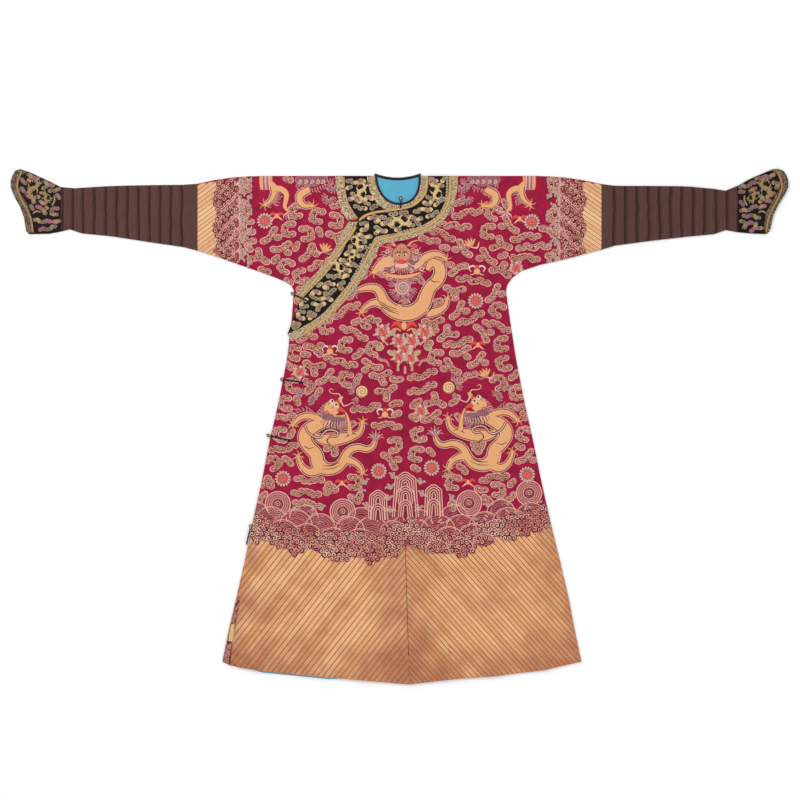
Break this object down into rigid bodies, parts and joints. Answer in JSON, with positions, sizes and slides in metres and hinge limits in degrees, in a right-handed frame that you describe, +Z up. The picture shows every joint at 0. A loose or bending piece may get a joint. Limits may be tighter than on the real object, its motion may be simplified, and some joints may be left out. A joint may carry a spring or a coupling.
{
  "type": "chinese dragon robe",
  "caption": "Long side-fastening court robe laid out flat, with ribbed sleeves, hoof cuffs, a shaped collar with a slanting edge, and a flared skirt with vents.",
  "frame": {"origin": "middle of the robe's outline, on the surface that it lies on", "axes": "+X towards the wearer's left sleeve, +Y from the hem towards the collar, +Z up out of the surface, through the back and then the front"},
  "size_m": [2.098, 1.391, 0.0115],
  "materials": {
    "crimson_silk": "crimson silk satin with couched gold and coloured thread",
    "ribbed_silk": "dark brown ribbed silk, tucked across the sleeve",
    "navy_silk": "midnight blue silk satin with couched gold thread",
    "brocade": "woven gold and many-coloured brocade ribbon",
    "turquoise_lining": "plain turquoise silk",
    "dark_binding": "blue-black silk cord and binding",
    "gilt_metal": "dull gilt metal"
  },
  "bodies": {
    "root": {"body_left": "crimson_silk", "body_right": "crimson_silk", "front_overlap": "crimson_silk", "lining_back": "turquoise_lining", "sleeve_left": "ribbed_silk", "sleeve_right": "ribbed_silk", "cuff_left": "navy_silk", "cuff_right": "navy_silk", "cuff_border_left": "brocade", "cuff_border_right": "brocade", "collar_front": "navy_silk", "collar_underlap": "navy_silk", "collar_back": "navy_silk", "border_front": "brocade", "border_overlap": "brocade", "border_underlap": "brocade", "neck_band_front": "brocade", "neck_band_underlap": "brocade", "neck_binding_front": "dark_binding", "neck_binding_underlap": "dark_binding", "neck_binding_back": "dark_binding", "button_neck": "gilt_metal", "loop_neck": "dark_binding", "button_underarm": "gilt_metal", "loop_underarm": "dark_binding", "button_upper_side": "gilt_metal", "loop_upper_side": "dark_binding", "button_lower_side": "gilt_metal", "loop_lower_side": "dark_binding", "button_skirt_side": "gilt_metal", "loop_skirt_side": "dark_binding"}
  },
  "joints": []
}
